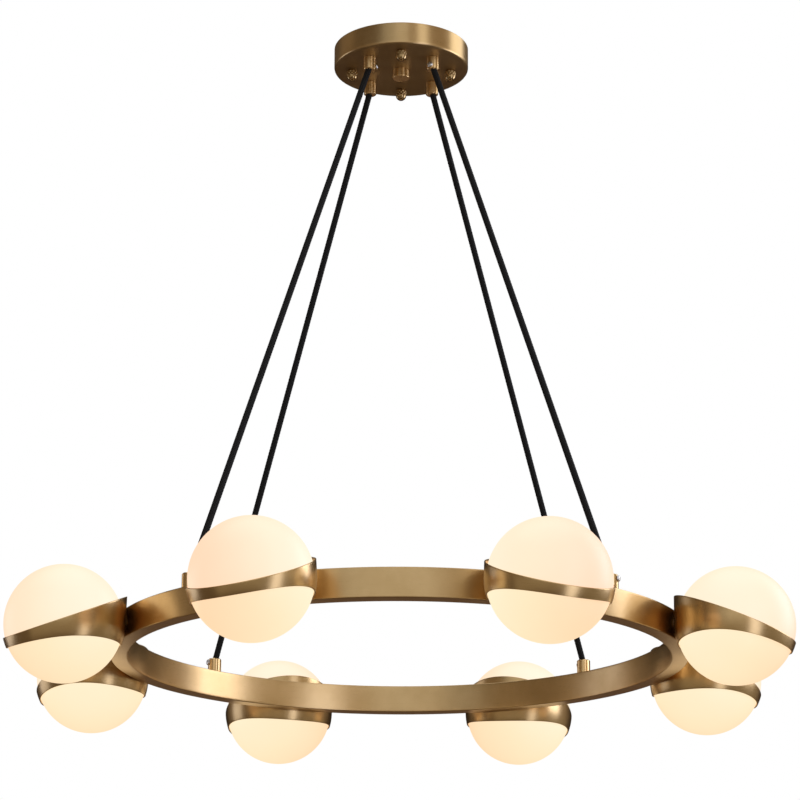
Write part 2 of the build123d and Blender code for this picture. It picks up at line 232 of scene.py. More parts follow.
def turned(radius, height, centre, axes, columns):
    """Surface turned about an axis: a circle of the given radius at the given height for every row.

    Radius and height may change round the axis, with one value for each column.
    Returns the points, and a map of distance round by distance along, both in metres.
    """
    angle = np.linspace(0, 2 * math.pi, columns + 1)
    radius = np.asarray(radius, float)
    height = np.asarray(height, float)
    if radius.ndim == 1:
        radius = radius[:, None]
    if height.ndim == 1:
        height = height[:, None]
    first, second, along = axes
    points = (
        centre
        + (radius * np.cos(angle))[..., None] * first
        + (radius * np.sin(angle))[..., None] * second
        + (height + 0 * angle)[..., None] * along
    )
    step = np.linalg.norm(np.diff(points, axis=0), axis=2)
    run = np.concatenate([np.zeros((1, columns + 1)), np.cumsum(step, axis=0)])
    return points, np.stack([angle * radius.max() + 0 * run, run], axis=2)


def turned_profile(profile, centre, axes=level_axes, columns=96):
    """Surface turned about an axis from a profile of (radius, height) points."""
    return turned(profile[:, 0], profile[:, 1], centre, axes, columns)


def grid_faces(rows, columns):
    """Four-sided faces between neighbouring rows and columns of a grid of points."""
    index = np.arange(rows * columns).reshape(rows, columns)
    return np.stack([index[:-1, :-1], index[:-1, 1:], index[1:, 1:], index[1:, :-1]], 2).reshape(-1, 4)


def skin(name, *surfaces):
    """One mesh over grids of points, with each grid's map kept as the mesh's "finish" map.

    Rows and columns that end where they began are merged there, and so are poles.
    Faces are turned to make the volume inside positive, so that they point outwards.
    """
    verts, faces, maps, start = [], [], [], 0
    for points, surface_map in surfaces:
        quads = grid_faces(*points.shape[:2])
        flat = points.reshape(-1, 3)
        a, b, c, d = (flat[quads[:, corner]] - flat.mean(0) for corner in range(4))
        volume = (np.cross(a, b) * c).sum() + (np.cross(a, c) * d).sum()
        if volume < 0:
            quads = quads[:, ::-1]
        verts.append(flat)
        faces.append(quads + start)
        maps.append(surface_map.reshape(-1, 2))
        start += len(flat)
    faces = np.concatenate(faces)
    mesh = bpy.data.meshes.new(name)
    mesh.from_pydata(np.concatenate(verts), [], faces)
    layer = mesh.uv_layers.new(name="finish")
    layer.uv.foreach_set("vector", np.concatenate(maps)[faces.ravel()].astype(np.float32).ravel())
    mesh.polygons.foreach_set("use_smooth", np.ones(len(faces), bool))
    merged = bmesh.new()
    merged.from_mesh(mesh)
    bmesh.ops.remove_doubles(merged, verts=merged.verts, dist=merge_distance)
    merged.to_mesh(mesh)
    merged.free()
    piece = bpy.data.objects.new(name, mesh)
    bpy.context.scene.collection.objects.link(piece)
    return piece


def fit(piece, body, slot, finish, *nodes):
    """Give a piece its finish, let it ride on a body and stand for its solids."""
    piece.data.materials.append(finish)
    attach(piece, body)
    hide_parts(*nodes)


# Finishes

def new_finish(name):
    """A material with its node tree and its main shader."""
    finish = bpy.data.materials.new(name)
    finish.use_nodes = True
    return finish, finish.node_tree, finish.node_tree.nodes["Principled BSDF"]


def add(tree, kind, options=None, **sockets):
    """A node with some options and input values set; an underscore in a name stands for a space."""
    node = tree.nodes.new("ShaderNode" + kind)
    for option, value in (options or {}).items():
        setattr(node, option, value)
    for socket, value in sockets.items():
        node.inputs[socket.replace("_", " ")].default_value = value
    return node


def scaled(tree, factor):
    """A node that multiplies its first input by a factor."""
    node = add(tree, "Math", {"operation": "MULTIPLY"})
    node.inputs[1].default_value = factor
    return node


def join(tree, *pairs):
    """Link outputs to inputs, given as (node, output, node, input)."""
    for source, output, target, entry in pairs:
        tree.links.new(source.outputs[output], target.inputs[entry])


def ramp(tree, *stops):
    """Colour ramp through (place, colour) stops."""
    node = tree.nodes.new("ShaderNodeValToRGB")
    while len(node.color_ramp.elements) < len(stops):
        node.color_ramp.elements.new(0.5)
    for element, (place, colour) in zip(node.color_ramp.elements, stops):
        element.position = place
        element.color = (*colour, 1.0)
    return node


def relief(tree, shader, source, output, strength, distance):
    """Bump from a node's output into a shader's normal."""
    bump = add(tree, "Bump", Strength=strength, Distance=distance)
    join(tree, (source, output, bump, "Height"), (bump, "Normal", shader, "Normal"))


def spun_brass(name, rough_low, rough_high, grain, shade=1.0, stretch_of_gloss=0.35):
    """Brass turned on a lathe: fine lines round the piece, and a slow drift of tone.

    A shade below 1 darkens the tone as painted shade; one above brightens it, partly as polish and partly as
    painted light. The gloss stretches across the lines.
    """
    finish, tree, shader = new_finish(name)
    lines = add(tree, "UVMap", {"uv_map": "finish"})
    stretch = add(tree, "Mapping", Scale=(22.0, 5200.0, 1.0))
    scratches = add(tree, "TexNoise", Scale=1.0, Detail=3.0, Roughness=0.6)
    place = add(tree, "TexCoord")
    drift = add(tree, "TexNoise", Scale=24.0, Detail=4.0, Roughness=0.55)
    # The shade factor scales the whole tone: below 1 it paints shade in, above 1 it paints light in
    dark, light = shade * np.array([[0.63, 0.43, 0.20], [0.735, 0.52, 0.26]])
    tone = ramp(tree, (0.32, dark), (0.68, light))
    satin = add(tree, "MapRange", From_Min=0.3, From_Max=0.7, To_Min=rough_low, To_Max=rough_high)
    along = add(tree, "Tangent", {"direction_type": "UV_MAP", "uv_map": "finish"})
    shader.inputs["Metallic"].default_value = 1.0
    shader.inputs["Anisotropic"].default_value = stretch_of_gloss
    shader.inputs["Anisotropic Rotation"].default_value = 0.25
    join(
        tree,
        (lines, "UV", stretch, "Vector"),
        (stretch, "Vector", scratches, "Vector"),
        (place, "Object", drift, "Vector"),
        (drift, "Fac", tone, "Fac"),
        (tone, "Color", shader, "Base Color"),
        (scratches, "Fac", satin, "Value"),
        (satin, "Result", shader, "Roughness"),
        (along, "Tangent", shader, "Tangent"),
    )
    relief(tree, shader, scratches, "Fac", grain, 0.00003)
    return finish


def lit_opal(name, warm, middle, pale):
    """Matte opal glass glowing from the lamp inside, with painted light that makes it paler on one side and
    above, warmer on the other and below.

    The glass halves' map holds how far each point lies towards the side given painted light, and how high,
    both as shares of the globe's radius.
    """
    finish, tree, shader = new_finish(name)
    shares = add(tree, "UVMap", {"uv_map": "finish"})
    split = add(tree, "SeparateXYZ")
    # The sideways and upward shares scale the painted light that makes the glass paler on one side and above
    sideways, high = scaled(tree, painted_light_sideways), scaled(tree, painted_light_upwards)
    place = add(tree, "TexCoord")
    cloud = add(tree, "TexNoise", Scale=26.0, Detail=3.0, Roughness=0.5)
    haze = add(tree, "MapRange", To_Min=0.31, To_Max=0.41)
    painted_light_share, hazed = (add(tree, "Math", {"operation": "ADD"}) for _ in range(2))
    glow = ramp(tree, (0.0, warm), (0.5, middle), (1.0, pale))
    shader.inputs["Base Color"].default_value = (0.060, 0.060, 0.066, 1.0)
    shader.inputs["Roughness"].default_value = 0.45
    shader.inputs["Specular IOR Level"].default_value = 0.5
    shader.inputs["Emission Strength"].default_value = 1.0
    join(
        tree,
        (shares, "UV", split, "Vector"),
        (split, "X", sideways, 0),
        (split, "Y", high, 0),
        (sideways, "Value", painted_light_share, 0),
        (high, "Value", painted_light_share, 1),
        (place, "Object", cloud, "Vector"),
        (cloud, "Fac", haze, "Value"),
        (painted_light_share, "Value", hazed, 0),
        (haze, "Result", hazed, 1),
        (hazed, "Value", glow, "Fac"),
        (glow, "Color", shader, "Emission Color"),
    )
    relief(tree, shader, cloud, "Fac", 0.05, 0.0004)
    return finish


def black_braid():
    """Black textile braid: two crossing sets of threads, greyer where a thread stands proud, a painted
    highlight.
    """
    finish, tree, shader = new_finish("black_braid")
    route = add(tree, "UVMap", {"uv_map": "finish"})
    split = add(tree, "SeparateXYZ")
    sines = []
    for operation in ("ADD", "SUBTRACT"):
        strand = add(tree, "Math", {"operation": operation})
        turn = scaled(tree, math.pi)
        sine = add(tree, "Math", {"operation": "SINE"})
        join(
            tree,
            (split, "X", strand, 0),
            (split, "Y", strand, 1),
            (strand, "Value", turn, 0),
            (turn, "Value", sine, 0),
        )
        sines.append(sine)
    weave = add(tree, "Math", {"operation": "MULTIPLY"})
    proud = add(tree, "Math", {"operation": "ABSOLUTE"})
    place = add(tree, "TexCoord")
    fibres = add(tree, "TexNoise", Scale=2600.0, Detail=2.0)
    shade = add(tree, "Math", {"operation": "MULTIPLY"})
    # Proud threads are painted greyer: a painted highlight on the crossings
    tone = ramp(tree, (0.05, (0.002, 0.002, 0.002)), (0.6, (0.014, 0.013, 0.013)))
    shader.inputs["Roughness"].default_value = 0.8
    shader.inputs["Specular IOR Level"].default_value = 0.25
    join(
        tree,
        (route, "UV", split, "Vector"),
        (sines[0], "Value", weave, 0),
        (sines[1], "Value", weave, 1),
        (weave, "Value", proud, 0),
        (place, "Object", fibres, "Vector"),
        (proud, "Value", shade, 0),
        (fibres, "Fac", shade, 1),
        (shade, "Value", tone, "Fac"),
        (tone, "Color", shader, "Base Color"),
    )
    relief(tree, shader, fibres, "Fac", 0.3, 0.0001)
    return finish


def clouded(name, dark, light, metallic, rough, scale, bump=0.08):
    """Plain finish: cloudy tone, uneven roughness and a faint relief."""
    finish, tree, shader = new_finish(name)
    place = add(tree, "TexCoord")
    cloud = add(tree, "TexNoise", Scale=scale, Detail=4.0, Roughness=0.6)
    tone = ramp(tree, (0.3, dark), (0.7, light))
    satin = add(tree, "MapRange", To_Min=0.75 * rough, To_Max=1.25 * rough)
    shader.inputs["Metallic"].default_value = metallic
    join(
        tree,
        (place, "Object", cloud, "Vector"),
        (cloud, "Fac", tone, "Fac"),
        (tone, "Color", shader, "Base Color"),
        (cloud, "Fac", satin, "Value"),
        (satin, "Result", shader, "Roughness"),
    )
    relief(tree, shader, cloud, "Fac", bump, 0.0002)
    return finish


def bulb_glow():
    """Frosted bulb, lit evenly, with a fine frost."""
    finish, tree, shader = new_finish("bulb_glow")
    place = add(tree, "TexCoord")
    frost = add(tree, "TexNoise", Scale=420.0, Detail=2.0)
    tone = ramp(tree, (0.3, (0.92, 0.84, 0.68)), (0.7, (1.0, 0.93, 0.80)))
    shader.inputs["Roughness"].default_value = 0.5
    shader.inputs["Emission Strength"].default_value = 0.9
    join(
        tree,
        (place, "Object", frost, "Vector"),
        (frost, "Fac", tone, "Fac"),
        (tone, "Color", shader, "Base Color"),
        (tone, "Color", shader, "Emission Color"),
    )
    return finish


brass = spun_brass("spun_brass", 0.27, 0.33, 0.05)
# The canopy floor's copy of the brass is darkened: painted shade on its downward faces
floor_brass_painted_shade = spun_brass("floor_brass_painted_shade", 0.46, 0.52, 0.05, shade=0.60)
# The fittings' copy of the brass is brightened, partly as polish and partly as painted light
fitting_brass = spun_brass("fitting_brass", 0.23, 0.27, 0.012, shade=1.3, stretch_of_gloss=0.95)
# The nuts' copy of the brass is darkened: painted shade
nut_brass_painted_shade = spun_brass("nut_brass_painted_shade", 0.04, 0.08, 0.02, shade=0.66)
dark_brass = clouded("dark_brass", (0.10, 0.065, 0.03), (0.15, 0.10, 0.05), 1.0, 0.42, 160.0)
# The dome's stops are bluer than the lower glass's: painted light falling from above on the upper glass
opal_below = lit_opal("opal_below", (1.0, 0.68, 0.41), (1.0, 0.80, 0.515), (1.0, 0.89, 0.65))
opal_dome = lit_opal("opal_dome", (1.0, 0.68, 0.46), (1.0, 0.80, 0.57), (1.0, 0.885, 0.685))
braid = black_braid()
steel = clouded("silver_steel", (0.70, 0.70, 0.71), (0.82, 0.82, 0.83), 1.0, 0.18, 900.0, bump=0.03)
zinc = clouded("zinc_steel", (0.44, 0.45, 0.47), (0.60, 0.61, 0.62), 1.0, 0.40, 120.0)
ceramic = clouded("white_ceramic", (0.70, 0.68, 0.63), (0.80, 0.78, 0.73), 0.0, 0.35, 90.0)
block_plastic = clouded("block_plastic", (0.60, 0.59, 0.55), (0.70, 0.69, 0.65), 0.0, 0.45, 200.0)
wire_sheath = clouded("wire_sheath", (0.008, 0.008, 0.009), (0.014, 0.014, 0.016), 0.0, 0.5, 300.0)


# Cords, laid along the routes of their solids

def read_route(points):
    """Points along a smooth open line with the given control points."""
    curve = bpy.data.curves.new("route", "CURVE")
    curve.dimensions = "3D"
    spline = curve.splines.new("NURBS")
    spline.points.add(len(points) - 1)
    spline.points.foreach_set("co", np.column_stack([points, np.ones(len(points))]).ravel())
    spline.order_u = 3
    spline.use_endpoint_u = True
    spline.resolution_u = 64
    holder = bpy.data.objects.new("route", curve)
    mesh = bpy.data.meshes.new_from_object(holder)
    found = np.empty(len(mesh.vertices) * 3)
    mesh.vertices.foreach_get("co", found)
    bpy.data.objects.remove(holder)
    bpy.data.curves.remove(curve)
    bpy.data.meshes.remove(mesh)
    return found.reshape(-1, 3)


def braided_tube(route, side, columns=40, rows=1100):
    """Tube of the cord's radius along a straight route, with a braid in relief.

    Threads of two sets run round the tube both ways. The surface stands proud by the absolute product
    of a sine across each set, so that every crossing is a small diamond-shaped cushion.
    """
    along = route[-1] - route[0]
    length = np.linalg.norm(along)
    along = along / length
    second = np.cross(along, side)
    turn = np.linspace(0, 1, columns + 1)
    run = np.linspace(0, 1, rows + 1)[:, None]
    around = turn * braid_carriers
    lengthwise = run * length / braid_pitch
    proud = np.abs(np.sin(math.pi * (around + lengthwise)) * np.sin(math.pi * (around - lengthwise)))
    radius = cord_radius - braid_depth * (1 - proud)
    centre = route[0] + run[..., None] * (route[-1] - route[0])
    points = (
        centre
        + (radius * np.cos(2 * math.pi * turn))[..., None] * side
        + (radius * np.sin(2 * math.pi * turn))[..., None] * second
    )
    surface_map = np.stack([around + 0 * run, lengthwise + 0 * turn], axis=2)
    ends = centre[[0, -1]] + np.zeros((1, columns + 1, 1))
    end_maps = surface_map[[0, -1]]
    points = np.concatenate([ends[:1], points, ends[1:]])
    return points, np.concatenate([end_maps[:1], surface_map, end_maps[1:]])


for number, angle in enumerate(cord_angles, start=1):
    top, bottom = cord_crossings(angle)
    down, held = cord_line(angle)
    first_end, last_end = top - down * held, bottom + down * held
    route = read_route(np.array([first_end, (first_end + last_end) / 2, last_end]))
    piece = skin(f"braided_cord_{number}", braided_tube(route, np.cross(up, outward(angle))))
    fit(piece, "fixture", "black_braid", braid, f"cord_{number}")


# Globes and their cups

def rim_height(radius, lean):
    """Height at which the slanted rim cuts a wall of that radius, for the cosine of each angle from the ring.

    Above the middle the wall is a cylinder, so the cut is the plane's own height. Below, the wall is
    a ball, and the height solves the quadratic for a plane through a ball.
    """
    slope = math.tan(cup_rim_tilt) * lean
    on_cylinder = cup_rim_height + slope * radius
    root = np.sqrt(slope**2 * ((1 + slope**2) * radius**2 - cup_rim_height**2))
    on_ball = (cup_rim_height - root) / (1 + slope**2)
    return np.where(on_cylinder >= 0, on_cylinder, on_ball)


def low_edge_height(radius, lean, steps=30):
    """Height of the curved lower edge: an arc through three side points, met by the ball in steps."""
    reach = cup_low_edge_reach
    sides = np.array([[-reach, cup_low_edge_outer], [0.0, cup_low_edge_side], [reach, cup_low_edge_ring]])
    system = np.column_stack([2 * sides, np.ones(3)])
    across, high, rest = np.linalg.solve(system, (sides**2).sum(1))
    arc_radius = math.sqrt(rest + across**2 + high**2)
    height = np.full_like(lean, cup_low_edge_side)
    for _ in range(steps):
        place = np.sqrt(radius**2 - height**2) * lean
        height = high + np.sqrt(arc_radius**2 - (place - across) ** 2)
    return height


def wall_radius(radius, height):
    """Radius of a cup's wall at a height: plain above the middle, ball-shaped below."""
    return np.sqrt(radius**2 - np.minimum(height, 0.0) ** 2)


def cup_surface(globe, columns=192, wall_rows=26, edge_rows=9):
    """Closed wall of a cup: up its outside, over a round lip, down its inside and round the lower edge.

    Every column is one upright section. Both walls run between the heights of the two edges there,
    and each edge is a half ellipse from wall to wall.
    """
    lean = np.cos(np.linspace(0, 2 * math.pi, columns + 1))
    outer_radius = cup_inner_radius + cup_wall
    low_out, low_in = low_edge_height(outer_radius, lean), low_edge_height(cup_inner_radius, lean)
    top_out, top_in = rim_height(outer_radius, lean), rim_height(cup_inner_radius, lean)
    share = np.linspace(0, 1, wall_rows)[:, None]
    rise_out = low_out + low_edge_round + share * (top_out - lip_round - low_out - low_edge_round)
    rise_in = low_in + low_edge_round + share * (top_in - lip_round - low_in - low_edge_round)
    wall_out, wall_in = wall_radius(outer_radius, rise_out), wall_radius(cup_inner_radius, rise_in)
    swing = np.linspace(0, math.pi, edge_rows)[1:-1, None]

    def edge(out_height, out_place, in_height, in_place, bulge):
        """Half ellipse from the outer wall to the inner one."""
        height = (out_height + in_height) / 2 + (out_height - in_height) / 2 * np.cos(swing)
        place = (out_place + in_place) / 2 + (out_place - in_place) / 2 * np.cos(swing)
        return place, height + bulge * np.sin(swing)

    lip = edge(rise_out[-1], wall_out[-1], rise_in[-1], wall_in[-1], lip_round)
    low = edge(rise_out[0], wall_out[0], rise_in[0], wall_in[0], -low_edge_round)
    radius = np.concatenate([wall_out, lip[0], wall_in[::-1], low[0][::-1], wall_out[:1]])
    height = np.concatenate([rise_out, lip[1], rise_in[::-1], low[1][::-1], rise_out[:1]])
    points, surface_map = turned(radius, height, globe_centre(globe), cup_axes(globe), columns)
    surface_map[..., 1] = height
    return points, surface_map


def glass_surface(globe, upper, columns=128, outer_rows=48, inner_rows=32):
    """Ball shell on one side of the joint: from the outer pole to the joint, and back inside to the pole.

    Its map holds how far each point lies towards the side of the globe given painted light, and how high it
    lies.
    """
    side = 1 if upper else -1
    joint = glass_joint_height + side * glass_joint_gap / 2
    inner_radius = glass_radius - glass_wall
    outer_turn = np.linspace(side * math.pi / 2, math.asin(joint / glass_radius), outer_rows)
    inner_turn = np.linspace(math.asin(joint / inner_radius), side * math.pi / 2, inner_rows)
    radius = np.concatenate([glass_radius * np.cos(outer_turn), inner_radius * np.cos(inner_turn)])
    height = np.concatenate([glass_radius * np.sin(outer_turn), inner_radius * np.sin(inner_turn)])
    radius[[0, -1]] = 0.0
    centre = globe_centre(globe)
    points, _ = turned(radius, height, centre, glass_axes(globe), columns)
    # The side of each globe that takes the painted light
    painted_light_side = outward(globe_angle(globe) - math.copysign(painted_light_turn, centre[0]))
    return points, (points - centre) @ np.stack([painted_light_side, up], axis=1) / glass_radius


for globe in range(globe_count):
    number = globe + 1
    fit(skin(f"slant_cup_{number}", cup_surface(globe)), "fixture", "brass", brass, f"cup_{number}")
    lower = skin(f"globe_below_{number}", glass_surface(globe, upper=False))
    fit(lower, "fixture", "opal_glass", opal_below, f"lower_glass_{number}")
    upper = skin(f"globe_dome_{number}", glass_surface(globe, upper=True))
    fit(upper, f"dome_{number}", "opal_glass", opal_dome, f"upper_glass_{number}")


# Lamp holders and bulbs

def holder_surface(globe):
    """Ceramic holder: a turned block with a shallow groove and a recess for the bulb."""
    groove_start = holder_front + holder_groove_place - holder_groove_width / 2
    groove_end = groove_start + holder_groove_width
    groove_radius = holder_radius - holder_groove_depth
    profile = rounded(
        [
            (0.0, holder_front + bulb_base_depth),
            (bulb_base_radius, holder_front + bulb_base_depth),
            (bulb_base_radius, holder_front),
            (holder_radius, holder_front),
            (holder_radius, groove_start),
            (groove_radius, groove_start + holder_groove_depth),
            (groove_radius, groove_end - holder_groove_depth),
            (holder_radius, groove_end),
            (holder_radius, holder_base),
            (0.0, holder_base),
        ],
        [small_round, 2 * small_round, 4 * small_round] + [small_round] * 4 + [3 * small_round],
    )
    return turned_profile(profile, globe_centre(globe) + up * lamp_rise, lamp_axes(globe), 64)


def bulb_surface(globe, tip_rows=14):
    """Bulb: a narrow base in the holder and a body whose tip is a quarter circle turned round the axis."""
    swing = np.linspace(0, math.pi / 2, tip_rows)
    tip = np.column_stack([bulb_radius * np.sin(swing), bulb_tip + bulb_radius * (1 - np.cos(swing))])
    shoulder = rounded(
        [
            tip[-1],
            (bulb_radius, holder_front - seat_clearance),
            (bulb_base_radius, holder_front - seat_clearance),
            (bulb_base_radius, holder_front + bulb_base_depth),
            (0.0, holder_front + bulb_base_depth),
        ],
        [6 * small_round, small_round, small_round],
    )
    profile = np.concatenate([tip, shoulder[1:]])
    return turned_profile(profile, globe_centre(globe) + up * lamp_rise, lamp_axes(globe), 48)


holders = skin("ceramic_holders", *(holder_surface(globe) for globe in range(globe_count)))
fit(holders, "fixture", "white_ceramic", ceramic, "lamp_holders")
lit_bulbs = skin("frosted_bulbs", *(bulb_surface(globe) for globe in range(globe_count)))
fit(lit_bulbs, "fixture", "bulb_white", bulb_glow(), "bulbs")


# Ring and canopy

def ring_profile():
    """Upright band with slightly rounded edges, begun and ended in the middle of its outer face."""
    inner_radius = ring_outer_radius - ring_width
    low, high = ring_mid_z - ring_height / 2, ring_mid_z + ring_height / 2
    return rounded(
        [
            (ring_outer_radius, ring_mid_z),
            (ring_outer_radius, high),
            (inner_radius, high),
            (inner_radius, low),
            (ring_outer_radius, low),
            (ring_outer_radius, ring_mid_z),
        ],
        [ring_edge_round] * 4,
    )


def canopy_profile():
    """Spun dish, open at the top: out along its floor, up its side, over the rim and down inside."""
    inner = canopy_radius - canopy_wall
    floor = -canopy_height
    return rounded(
        [
            (0.0, floor),
            (canopy_radius, floor),
            (canopy_radius, 0.0),
            (inner, 0.0),
            (inner, floor + canopy_wall),
            (0.0, floor + canopy_wall),
        ],
        [canopy_edge_round, canopy_rim_round, canopy_rim_round, canopy_edge_round - canopy_wall],
    )


def hub_profile():
    """Plain plug under the canopy with its spigot through the floor."""
    floor = -canopy_height
    stand = floor + canopy_wall + spigot_stand
    return rounded(
        [
            (0.0, floor - hub_height),
            (hub_radius, floor - hub_height),
            (hub_radius, floor),
            (spigot_radius, floor),
            (spigot_radius, stand),
            (0.0, stand),
        ],
        [hub_edge_round, small_round, small_round, 2 * small_round],
    )


band = skin("brass_ring", turned_profile(ring_profile(), axis_point, columns=512))
fit(band, "fixture", "brass", brass, "ring")
dish = skin("canopy_dish", turned_profile(canopy_profile(), axis_point, columns=256))
fit(dish, "fixture", "brass", brass, "canopy")
# Faces that point down take the darker copy: painted shade on the canopy's underside
dish.data.materials.append(floor_brass_painted_shade)
normals = np.empty(3 * len(dish.data.polygons), np.float32)
dish.data.polygons.foreach_get("normal", normals)
dish.data.polygons.foreach_set("material_index", (normals[2::3] < facing_down).astype(np.int32))
plug = skin("hub_plug", turned_profile(hub_profile(), axis_point))
fit(plug, "fixture", "brass", fitting_brass, "centre_hub")


def nut_surface(angle, columns=240, barrel_rows=40, ball_rows=20):
    """Knurled cap nut: neck, knurled barrel and a round end that is a little narrower.

    Two sets of slanted flutes cross on the barrel. The surface sinks by the share that the absolute
    product of a sine across each set leaves.
    """
    neck = nut_radius - nut_collar_step
    barrel_top = -nut_collar_height - nut_collar_step
    ball_radius = nut_radius - nut_ball_step
    shoulder = rounded(
        [(0.0, 0.0), (neck, 0.0), (neck, -nut_collar_height), (nut_radius, barrel_top)],
        [small_round, small_round],
    )
    barrel_z = np.linspace(barrel_top, -nut_barrel_height, barrel_rows)[1:]
    barrel = np.column_stack([np.full_like(barrel_z, nut_radius), barrel_z])
    swing = np.linspace(0, math.pi / 2, ball_rows)[1:]
    ball = np.column_stack([ball_radius * np.cos(swing), -nut_barrel_height - nut_radius * np.sin(swing)])
    ball[-1, 0] = 0.0
    profile = np.concatenate([shoulder, barrel, [[ball_radius, -nut_barrel_height]], ball])
    round_turn = np.linspace(0, nut_knurl_count / 2, columns + 1)
    flute_pitch = 2 * math.pi * nut_radius / nut_knurl_count
    along = profile[:, 1:] / (2 * flute_pitch)
    proud = np.abs(np.sin(math.pi * (round_turn + along)) * np.sin(math.pi * (round_turn - along)))
    on_barrel = profile[:, :1] > nut_radius - small_round
    radius = profile[:, :1] - on_barrel * nut_knurl_depth * (1 - proud)
    place = outward(angle) * nut_circle_radius - up * (canopy_height + nut_gap)
    return turned(radius, profile[:, 1], place, level_axes, columns)


for number, angle in enumerate(nut_angles, start=1):
    nut = skin(f"knurled_nut_{number}", nut_surface(angle))
    fit(nut, f"nut_{number}", "brass", nut_brass_painted_shade, f"canopy_nut_{number}")


# Cord grips and their set screws

def grip_surface(angle, end, body_radius, height, face_z, spigot_length, columns=96):
    """Cord grip: a turned body with a spigot on one face, and a bore that leans along the cord at the other.

    Rows are circles about the grip's own axis, apart from the leaning bore, whose circles are square to
    the cord and slide along it to the mouth. The last row runs back to the first.
    """
    away = 1 if end else -1
    crossing = cord_crossings(angle)[end]
    down, held = cord_line(angle)
    along = -away * down
    cord_end = crossing - along * held
    mouth_z = face_z + away * height
    spigot_z = face_z - away * spigot_length
    mouth_radius = body_radius - mouth_chamfer
    profile = rounded(
        [
            (lead_bore_radius, cord_end[2] - away * seat_clearance),
            (lead_bore_radius, spigot_z),
            (spigot_radius, spigot_z),
            (spigot_radius, face_z),
            (body_radius, face_z),
            (body_radius, mouth_z - away * mouth_chamfer),
            (mouth_radius, mouth_z),
            (mouth_radius - 2 * small_round, mouth_z),
        ],
        [small_round] * 3 + [grip_seat_round] + [small_round] * 2,
    )
    centre = crossing * (1, 1, 0)
    body, body_map = turned(profile[:, 0], profile[:, 1], centre, level_axes, columns)
    turn = np.linspace(0, 2 * math.pi, columns + 1)[:, None]
    first = level_axes[0] - along * (level_axes[0] @ along)
    first = first / np.linalg.norm(first)
    second = np.cross(along, first)
    second = second * math.copysign(1, second @ level_axes[1])
    circle = cord_end + cord_bore_radius * (np.cos(turn) * first + np.sin(turn) * second)
    mouth = circle + along * (mouth_z - circle[:, 2:]) / along[2]
    lip = mouth + (mouth - mouth.mean(0)) / cord_bore_radius * small_round
    inside = mouth - along * 2 * small_round
    points = np.concatenate([body, np.stack([lip, mouth, inside, circle]), body[:1]])
    steps = np.linalg.norm(np.diff(points[len(body) - 1:], axis=0), axis=2)
    run = body_map[-1:, :, 1] + np.cumsum(steps, axis=0)
    extra = np.stack([np.repeat(body_map[-1:, :, 0], len(run), axis=0), run], axis=2)
    return points, np.concatenate([body_map, extra])


def screw_surface(angle, end, body_radius, turn, columns=96, dome_rows=70):
    """Set screw: a shank in the grip's side and a low domed head with a cross slot.

    The dome is a quarter ellipse. Where a point lies within both arms' width and length of the cross,
    its height drops to the slot's floor.
    """
    facing = outward(turn)
    down, _ = cord_line(angle)
    slope = math.hypot(down[0], down[1]) / -down[2]
    start = cord_radius / -down[2] + screw_shank_radius * slope + seat_clearance
    seat = body_radius + seat_clearance
    shank = rounded(
        [
            (0.0, start),
            (screw_shank_radius, start),
            (screw_shank_radius, seat),
            (screw_head_radius, seat),
            (screw_head_radius, seat + screw_rim_height),
        ],
        [small_round] * 3,
    )
    reach = screw_head_radius * np.linspace(1, 0, dome_rows)[1:]
    rise = np.sqrt(1 - (reach / screw_head_radius) ** 2)
    dome_height = screw_head_height - screw_rim_height
    dome = np.column_stack([reach, seat + screw_rim_height + dome_height * rise])
    profile = np.concatenate([shank, dome])
    swing = np.linspace(0, 2 * math.pi, columns + 1)
    arms = profile[:, :1] * np.abs(np.stack([np.cos(swing), np.sin(swing)]))[:, None]
    in_width = np.clip((screw_slot_width / 2 - arms.min(0)) / screw_slot_wall, 0, 1)
    in_length = np.clip((screw_slot_length / 2 - arms.max(0)) / screw_slot_wall, 0, 1)
    cut = in_width * in_length * (profile[:, 1:] > seat + screw_rim_height)
    floor = seat + screw_head_height - screw_slot_depth
    height = profile[:, 1:] - cut * np.maximum(profile[:, 1:] - floor, 0)
    axes = (up, np.cross(facing, up), facing)
    return turned(profile[:, 0], height, cord_crossings(angle)[end], axes, columns)


for number, angle in enumerate(cord_angles, start=1):
    gland = grip_surface(angle, 0, gland_radius, gland_height, -canopy_height, canopy_wall + spigot_stand)
    fit(skin(f"cord_grip_{number}", gland), "fixture", "brass", fitting_brass, f"cord_gland_{number}")
    socket = grip_surface(angle, 1, socket_radius, socket_height, ring_top_z, ring_wall)
    fit(skin(f"ring_grip_{number}", socket), "fixture", "brass", fitting_brass, f"ring_socket_{number}")

screw_sets = (
    ("grip_screws", 0, gland_radius, gland_screw_turns, "gland_set_screws"),
    ("ring_screws", 1, socket_radius, socket_screw_turns, "socket_set_screws"),
)
for name, end, body_radius, turns, node in screw_sets:
    heads = [screw_surface(angle, end, body_radius, turn) for angle, turn in zip(cord_angles, turns)]
    fit(skin(name, *heads), "fixture", "silver_steel", steel, node)


# Pieces that keep their own solids
kept = {
    "mounting_bracket": zinc,
    "bracket_studs": zinc,
    "gland_nuts": zinc,
    "hub_nut": zinc,
    "nipples": zinc,
    "terminal_block": block_plastic,
    "canopy_leads": wire_sheath,
    "ring_harness": wire_sheath,
    "saddles": dark_brass,
}
for name, finish in kept.items():
    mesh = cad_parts[name].data
    mesh.materials.clear()
    mesh.materials.append(finish)


# Studio

